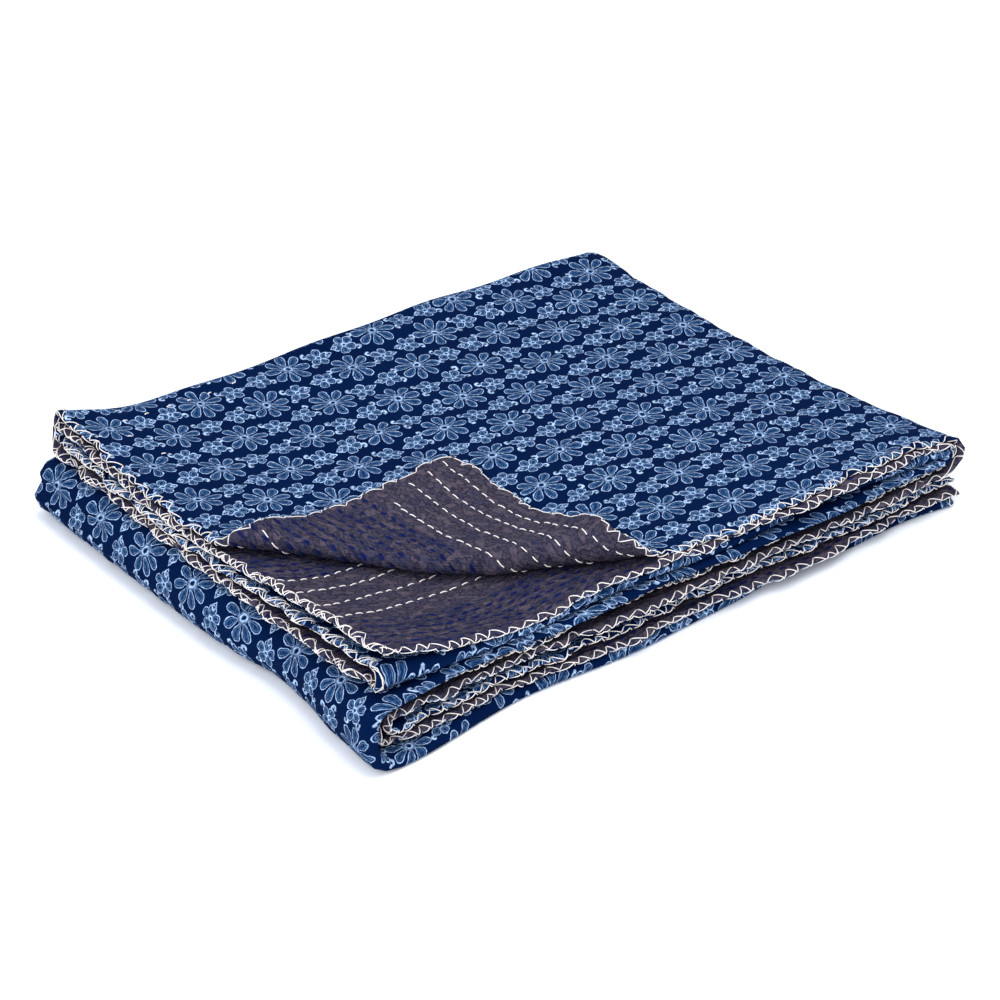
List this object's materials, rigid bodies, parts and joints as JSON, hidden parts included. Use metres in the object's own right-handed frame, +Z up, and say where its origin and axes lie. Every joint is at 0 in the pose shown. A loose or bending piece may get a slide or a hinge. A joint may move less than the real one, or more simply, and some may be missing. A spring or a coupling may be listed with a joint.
{
  "type": "kantha quilt",
  "caption": "Folded kantha quilt of blue flowered cotton backed in grey-brown, with running stitches, stitched hems and a turned-back corner.",
  "frame": {"origin": "middle of the pile's footprint, on the surface it rests on", "axes": "+X along the long side of the pile, towards the rounded fold of the top section; -Y towards the front, where the long hems show; +Z up"},
  "size_m": [0.4622, 0.3548, 0.0819],
  "materials": {
    "indigo_print": "matte block-printed cotton, indigo with light blue flowers",
    "grey_brown_backing": "matte mottled cotton, greyish brown"
  },
  "bodies": {
    "root": {"front_cloth": "indigo_print", "backing_cloth": "grey_brown_backing"}
  },
  "joints": []
}
